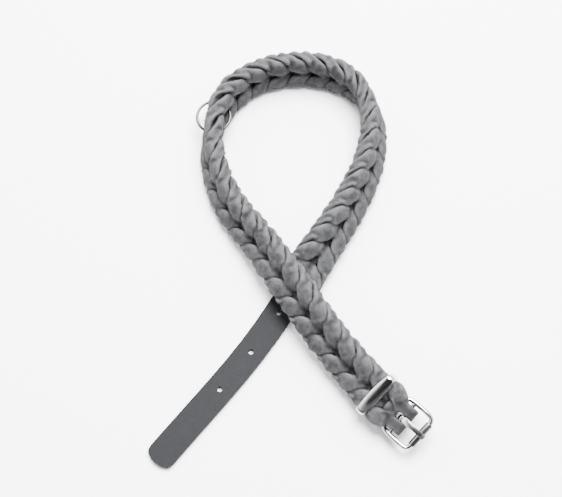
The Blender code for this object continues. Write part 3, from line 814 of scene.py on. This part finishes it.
leather_group, group_in, group_out = new_group(
    "leather_look",
    [
        ("Dark", "NodeSocketColor", (0.1, 0.1, 0.1, 1.0)),
        ("Body", "NodeSocketColor", (0.2, 0.2, 0.2, 1.0)),
        ("Pale", "NodeSocketColor", (0.4, 0.4, 0.4, 1.0)),
        ("Blotch", "NodeSocketFloat", 0.3),
        ("Nap", "NodeSocketFloat", 0.3),
    ],
    [("Color", "NodeSocketColor"), ("Height", "NodeSocketFloat"), ("Roughness", "NodeSocketFloat")],
)
place = leather_group.nodes.new("ShaderNodeTexCoord").outputs["Object"]
# The attribute holds the worn paleness of raised edges and the painted shade of the creases.
wear_and_crease_shade = leather_group.nodes.new("ShaderNodeAttribute")
wear_and_crease_shade.attribute_name = "wear_and_crease_shade"
blotches = add_noise(leather_group, place, BLOTCH_SCALE, 3.0)
fibres = add_noise(leather_group, place, NAP_SCALE, 4.0, 0.7)
grain = add_noise(leather_group, place, GRAIN_SCALE, 2.0)
blotch = add_math(leather_group, "SUBTRACT", blotches, 0.5)
blotch = add_math(leather_group, "MULTIPLY", blotch, group_in.outputs["Blotch"])
nap = add_math(leather_group, "SUBTRACT", fibres, 0.5)
nap = add_math(leather_group, "MULTIPLY", nap, group_in.outputs["Nap"])
tone = add_math(leather_group, "ADD", add_math(leather_group, "ADD", wear_and_crease_shade.outputs["Fac"], blotch), nap)
low = leather_group.nodes.new("ShaderNodeMapRange")
low.inputs["From Min"].default_value = DARK_TO_BODY[0]
low.inputs["From Max"].default_value = DARK_TO_BODY[1]
high = leather_group.nodes.new("ShaderNodeMapRange")
high.inputs["From Min"].default_value = BODY_TO_PALE[0]
high.inputs["From Max"].default_value = BODY_TO_PALE[1]
leather_group.links.new(tone, low.inputs["Value"])
leather_group.links.new(tone, high.inputs["Value"])
shade = add_mix(leather_group, low.outputs[0], group_in.outputs["Dark"], group_in.outputs["Body"])
shade = add_mix(leather_group, high.outputs[0], shade, group_in.outputs["Pale"])
leather_group.links.new(shade, group_out.inputs["Color"])
height = add_math(leather_group, "ADD", fibres, add_math(leather_group, "MULTIPLY", grain, 0.5))
leather_group.links.new(height, group_out.inputs["Height"])
rough = add_math(leather_group, "MULTIPLY", fibres, NAP_ROUGHNESS)
rough = add_math(leather_group, "ADD", LEATHER_ROUGHNESS, rough)
leather_group.links.new(rough, group_out.inputs["Roughness"])

# %% [markdown]
# The braid is nubuck: matt, with a soft sheen where the nap catches the light. The tail's face
# was pressed smooth, so it is darker and a little less matt.

# %% Leather materials
def leather_material(name, dark, body, pale, blotch, nap, relief, sheen, gloss):
    material = bpy.data.materials.new(name)
    material.use_nodes = True
    nodes = material.node_tree.nodes
    links = material.node_tree.links
    shader = nodes["Principled BSDF"]
    look = nodes.new("ShaderNodeGroup")
    look.node_tree = leather_group
    for title, value in (("Dark", dark), ("Body", body), ("Pale", pale)):
        look.inputs[title].default_value = (*value, 1.0)
    look.inputs["Blotch"].default_value = blotch
    look.inputs["Nap"].default_value = nap
    bump = nodes.new("ShaderNodeBump")
    bump.inputs["Strength"].default_value = 0.8
    bump.inputs["Distance"].default_value = relief
    links.new(look.outputs["Color"], shader.inputs["Base Color"])
    links.new(look.outputs["Roughness"], shader.inputs["Roughness"])
    links.new(look.outputs["Height"], bump.inputs["Height"])
    links.new(bump.outputs["Normal"], shader.inputs["Normal"])
    shader.inputs["Specular IOR Level"].default_value = gloss
    shader.inputs["Sheen Weight"].default_value = sheen
    shader.inputs["Sheen Roughness"].default_value = 0.5
    return material


nubuck = leather_material(
    "grey_nubuck",
    dark=(0.002, 0.002, 0.0024),
    body=(0.0152, 0.0152, 0.0167),
    pale=(0.056, 0.0561, 0.060),
    blotch=0.45,
    nap=0.60,
    relief=0.00035,
    sheen=0.03,
    gloss=0.25,
)
pressed = leather_material(
    "pressed_leather",
    dark=(0.0045, 0.0047, 0.0053),
    body=(0.0074, 0.0077, 0.0088),
    pale=(0.034, 0.035, 0.038),
    blotch=0.20,
    nap=0.12,
    relief=0.00008,
    sheen=0.01,
    gloss=0.17,
)
for piece in (long_braid, short_braid, long_nap, short_nap):
    piece.data.materials.append(nubuck)
tail.data.materials.append(pressed)

# %% [markdown]
# The hardware is cast and polished, with a thin nickel plate. Its shapes are simple, so each is
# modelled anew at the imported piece's own place and size, with round sections and soft edges.
# The two hinges of the buckle give its axes: along the bars, towards the roller, and outwards.

# %% Buckle axes
buckle_matrix = Matrix.Translation(bar_middle) @ buckle_turn.to_4x4()


def local_box(node):
    """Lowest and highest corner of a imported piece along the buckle's own axes."""
    to_buckle = buckle_matrix.inverted()
    places = np.array([to_buckle @ vertex.co for vertex in frame["nodes"][node].data.vertices])
    return places.min(axis=0), places.max(axis=0)


def settle(obj, matrix, name):
    """Put the piece in place, with its place in its mesh."""
    obj.name = name
    obj.data.name = name
    obj.matrix_world = matrix @ obj.matrix_world
    pick(obj)
    bpy.ops.object.transform_apply(location=True, rotation=True, scale=True)
    return obj


def face_outwards(obj):
    pick(obj)
    bpy.ops.object.mode_set(mode="EDIT")
    bpy.ops.mesh.select_all(action="SELECT")
    bpy.ops.mesh.remove_doubles(threshold=MERGE_REACH / 2)
    bpy.ops.mesh.normals_make_consistent(inside=False)
    bpy.ops.object.mode_set(mode="OBJECT")


# %% [markdown]
# The frame is a bent rod. A flat rectangle gets round corners by a vertex bevel, becomes a
# curve, and takes a round section. The sides bow out a little, as they do on a cast buckle, and
# the centre bar is a cylinder that is joined to them.

# %% Buckle frame
ROD_SHARE = 0.97            # the rod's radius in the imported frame's own, to stay inside it
FRAME_CORNER = 0.0024
FRAME_BOW = 0.0008
CENTRE_BAR_RADIUS = 0.00112
METAL_EDGE = math.radians(40.0)     # edges sharper than this stay crisp on the metal
ALONG_BAR = (0.0, math.pi / 2, 0.0)


def bent_rod(size, radius, corner, name):
    """A closed round rod in the XY plane, with round corners."""
    bpy.ops.mesh.primitive_plane_add(size=1.0)
    rod = bpy.context.object
    rod.scale = (size[0] - 2 * radius, size[1] - 2 * radius, 1.0)
    bpy.ops.object.transform_apply(location=True, rotation=True, scale=True)
    bpy.ops.object.mode_set(mode="EDIT")
    bpy.ops.mesh.select_all(action="SELECT")
    bpy.ops.mesh.delete(type="ONLY_FACE")
    bpy.ops.mesh.select_all(action="SELECT")
    bpy.ops.mesh.bevel(offset=corner, segments=8, affect="VERTICES")
    bpy.ops.mesh.select_all(action="SELECT")
    bpy.ops.mesh.subdivide(number_cuts=3)
    bpy.ops.object.mode_set(mode="OBJECT")
    bpy.ops.object.convert(target="CURVE")
    rod.data.bevel_depth = radius
    rod.data.bevel_resolution = 6
    bpy.ops.object.convert(target="MESH")
    rod = bpy.context.object
    rod.name = name
    face_outwards(rod)
    return rod


def bow(obj, axis, along, amount):
    """Push the sides out along one axis, most in the middle of the other one."""
    places = points_of(obj)
    share = places[:, along] / np.abs(places[:, along]).max()
    side = np.clip(places[:, axis] / (0.5 * np.abs(places[:, axis]).max()), -1.0, 1.0)
    places[:, axis] += side * amount * (1.0 - share ** 2)
    obj.data.vertices.foreach_set("co", places.ravel())
    obj.data.update()


low, high = local_box("buckle_frame")
rod_radius = (high[2] - low[2]) / 2
buckle = bent_rod(high - low, rod_radius * ROD_SHARE, FRAME_CORNER, "polished_frame")
bow(buckle, 0, 1, FRAME_BOW)
places = points_of(buckle)
places[:, 1] += (low[1] + high[1]) / 2
buckle.data.vertices.foreach_set("co", places.ravel())
bar_length = high[0] - low[0] - 2 * rod_radius
bpy.ops.mesh.primitive_cylinder_add(
    vertices=24, radius=CENTRE_BAR_RADIUS, depth=bar_length, rotation=ALONG_BAR
)
centre_bar = bpy.context.object
bpy.ops.object.transform_apply(location=True, rotation=True, scale=True)
apply_modifier(buckle, "join_bar", "BOOLEAN", operation="UNION", solver="EXACT", object=centre_bar)
bpy.data.objects.remove(centre_bar)
bpy.ops.object.shade_smooth_by_angle(angle=METAL_EDGE)
settle(buckle, buckle_matrix, "polished_frame")

# %% [markdown]
# The roller is a short tube. An open cylinder gets its wall from Solidify and its soft ends
# from a bevel.

# %% Roller
ROLLER_WALL = 0.0005
ROLLER_EDGE = 0.00015

low, high = local_box("roller")
roller_radius = (high[2] - low[2]) / 2
bpy.ops.mesh.primitive_cylinder_add(
    vertices=64,
    radius=roller_radius,
    depth=high[0] - low[0],
    end_fill_type="NOTHING",
    rotation=ALONG_BAR,
)
tube = bpy.context.object
bpy.ops.object.transform_apply(location=True, rotation=True, scale=True)
apply_modifier(tube, "wall", "SOLIDIFY", thickness=ROLLER_WALL, offset=-1.0)
apply_modifier(tube, "soft_ends", "BEVEL", width=ROLLER_EDGE, segments=3, limit_method="ANGLE")
face_outwards(tube)
bpy.ops.object.shade_smooth_by_angle(angle=METAL_EDGE)
roller_shift = Matrix.Translation(buckle_matrix.inverted() @ roller_middle)
settle(tube, buckle_matrix @ roller_shift, "polished_roller")

# %% [markdown]
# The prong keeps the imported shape. Its flat sides are cleaned of loose edges and then rounded
# with a bevel, as a cast and tumbled prong is.

# %% Prong
PRONG_FLAT = math.radians(3.0)      # faces closer than this in angle become one
PRONG_EDGE = 0.0003
PRONG_SMOOTH = math.radians(50.0)

arm = cad_copy("prong", "polished_prong")
bpy.ops.object.mode_set(mode="EDIT")
bpy.ops.mesh.select_all(action="SELECT")
bpy.ops.mesh.dissolve_limited(angle_limit=PRONG_FLAT)
bpy.ops.object.mode_set(mode="OBJECT")
edge = {"width": PRONG_EDGE, "segments": 3, "limit_method": "ANGLE", "angle_limit": METAL_EDGE}
apply_modifier(arm, "tumbled", "BEVEL", **edge)
face_outwards(arm)
bpy.ops.object.shade_smooth_by_angle(angle=PRONG_SMOOTH)

# %% [markdown]
# The keeper is a domed band, wider over its faces than at its ends. It is made like the frame,
# as a bent rod, and the rod is then stretched along the strap, so that its section is an oval.

# %% Keeper
KEEPER_THICKNESS = 0.00078  # half of the band's thickness at its crown
KEEPER_NARROWING = 0.35     # share of the width that is lost at the two ends
KEEPER_BEND = 0.0020
KEEPER_SPREAD = 1.35        # the dome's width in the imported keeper's
KEEPER_BACK = 0.0217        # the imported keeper's place, back from the fold

keeper_node = points_of(frame["nodes"]["keeper"])
keeper_middle = (keeper_node.max(axis=0) + keeper_node.min(axis=0)) / 2
_, keeper_travel, keeper_width, keeper_out = band_frame(KEEPER_BACK)
keeper_turn = Matrix((keeper_width, keeper_out, keeper_travel)).transposed()
keeper_matrix = Matrix.Translation(keeper_middle) @ keeper_turn.to_4x4()
places = (keeper_node - keeper_middle) @ np.array(keeper_turn)
low, high = places.min(axis=0), places.max(axis=0)
keeper_band = bent_rod(high - low, KEEPER_THICKNESS, KEEPER_BEND, "polished_keeper")
places = points_of(keeper_band)
reach = np.abs(places[:, 0]) / np.abs(places[:, 0]).max()
stretch = KEEPER_SPREAD * (high[2] - low[2]) / 2 / KEEPER_THICKNESS
places[:, 2] *= stretch * (1.0 - KEEPER_NARROWING * reach ** 2)
places[:, 0] += (low[0] + high[0]) / 2
places[:, 1] += (low[1] + high[1]) / 2
keeper_band.data.vertices.foreach_set("co", places.ravel())
bpy.ops.object.shade_smooth()
face_outwards(keeper_band)
settle(keeper_band, keeper_matrix, "polished_keeper")
print("keeper", [round(value * 1000, 1) for value in high - low], "mm")

# %% [markdown]
# The leash ring is a plain torus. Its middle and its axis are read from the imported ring: the
# axis is the direction in which that ring is thinnest.

# %% Leash ring
bpy.ops.mesh.primitive_torus_add(
    major_segments=96,
    minor_segments=20,
    major_radius=ring_reach,
    minor_radius=wire,
    location=tuple(ring_middle),
    rotation=Vector(ring_axis).to_track_quat("Z", "Y").to_euler(),
)
ring = bpy.context.object
bpy.ops.object.shade_smooth()
settle(ring, Matrix.Identity(4), "polished_ring")
print("ring radius", round(ring_reach * 1000, 2), "mm, wire", round(2000 * wire, 2), "mm")

# %% [markdown]
# Polished nickel is a slightly warm mirror. Fine noise dulls it here and there, as handling does,
# and a shallow bump bends its reflections a little. The prong is satin. The roller and the ring have
# painted shade: a darker tone stands in for their darker reflections. The pattern comes from one node
# group.

# %% Nickel
SMEAR_SCALE = 300.0         # noise features in each metre
PIT_SCALE = 800.0
STAIN_COLOUR = (0.72, 0.71, 0.68, 1.0)
STAIN_SHARE = 0.6

wear_group, group_in, group_out = new_group(
    "metal_wear",
    [
        ("Shine", "NodeSocketFloat", 0.05),
        ("Dullness", "NodeSocketFloat", 0.1),
        ("Tone", "NodeSocketColor", (0.5, 0.5, 0.5, 1.0)),
    ],
    [("Color", "NodeSocketColor"), ("Roughness", "NodeSocketFloat"), ("Height", "NodeSocketFloat")],
)
place = wear_group.nodes.new("ShaderNodeTexCoord").outputs["Object"]
smears = add_noise(wear_group, place, SMEAR_SCALE, 3.0)
pits = add_noise(wear_group, place, PIT_SCALE, 2.0)
dull = add_math(wear_group, "MULTIPLY", smears, group_in.outputs["Dullness"])
dull = add_math(wear_group, "ADD", dull, group_in.outputs["Shine"])
wear_group.links.new(dull, group_out.inputs["Roughness"])
stain = wear_group.nodes.new("ShaderNodeMix")
stain.data_type = "RGBA"
stain.blend_type = "MULTIPLY"
stain.inputs["B"].default_value = STAIN_COLOUR
wear_group.links.new(add_math(wear_group, "MULTIPLY", smears, STAIN_SHARE), stain.inputs["Factor"])
wear_group.links.new(group_in.outputs["Tone"], stain.inputs["A"])
wear_group.links.new(stain.outputs["Result"], group_out.inputs["Color"])
wear_group.links.new(pits, group_out.inputs["Height"])


def nickel_material(name, tone, shine, dullness):
    material = bpy.data.materials.new(name)
    material.use_nodes = True
    nodes = material.node_tree.nodes
    links = material.node_tree.links
    shader = nodes["Principled BSDF"]
    look = nodes.new("ShaderNodeGroup")
    look.node_tree = wear_group
    look.inputs["Tone"].default_value = (tone, tone, tone * 0.985, 1.0)
    look.inputs["Shine"].default_value = shine
    look.inputs["Dullness"].default_value = dullness
    bump = nodes.new("ShaderNodeBump")
    bump.inputs["Strength"].default_value = 0.2
    bump.inputs["Distance"].default_value = 0.00005
    links.new(look.outputs["Color"], shader.inputs["Base Color"])
    links.new(look.outputs["Roughness"], shader.inputs["Roughness"])
    links.new(look.outputs["Height"], bump.inputs["Height"])
    links.new(bump.outputs["Normal"], shader.inputs["Normal"])
    shader.inputs["Metallic"].default_value = 1.0
    return material


bright_nickel = nickel_material("bright_nickel", 0.45, 0.03, 0.10)
satin_nickel = nickel_material("satin_nickel", 0.42, 0.14, 0.10)
# Painted shade: the roller and the ring are the same nickel, given a darker tone for their darker
# reflections.
rubbed_and_shaded_nickel = nickel_material("rubbed_and_shaded_nickel", 0.17, 0.12, 0.20)
shaded_nickel = nickel_material("shaded_nickel", 0.045, 0.06, 0.10)
for piece, material in (
    (buckle, bright_nickel),
    (arm, satin_nickel),
    (keeper_band, bright_nickel),
    (tube, rubbed_and_shaded_nickel),
    (ring, shaded_nickel),
):
    piece.data.materials.clear()
    piece.data.materials.append(material)

# %% [markdown]
# Last, every piece is tied to the imported body that it moves with.

# %% Finish
finish(long_braid, "collar", "braid_leather", "long_strap")
finish(tail, "collar", "braid_leather", "long_strap")
finish(short_braid, "collar", "braid_leather", "short_strap")
finish(long_nap, "collar", "braid_leather", "long_strap")
finish(short_nap, "collar", "braid_leather", "short_strap")
finish(buckle, "collar", "polished_nickel", "buckle_frame")
finish(keeper_band, "collar", "polished_nickel", "keeper")
finish(ring, "collar", "polished_nickel", "leash_ring")
finish(tube, "roller", "polished_nickel", "roller")
finish(arm, "prong", "polished_nickel", "prong")
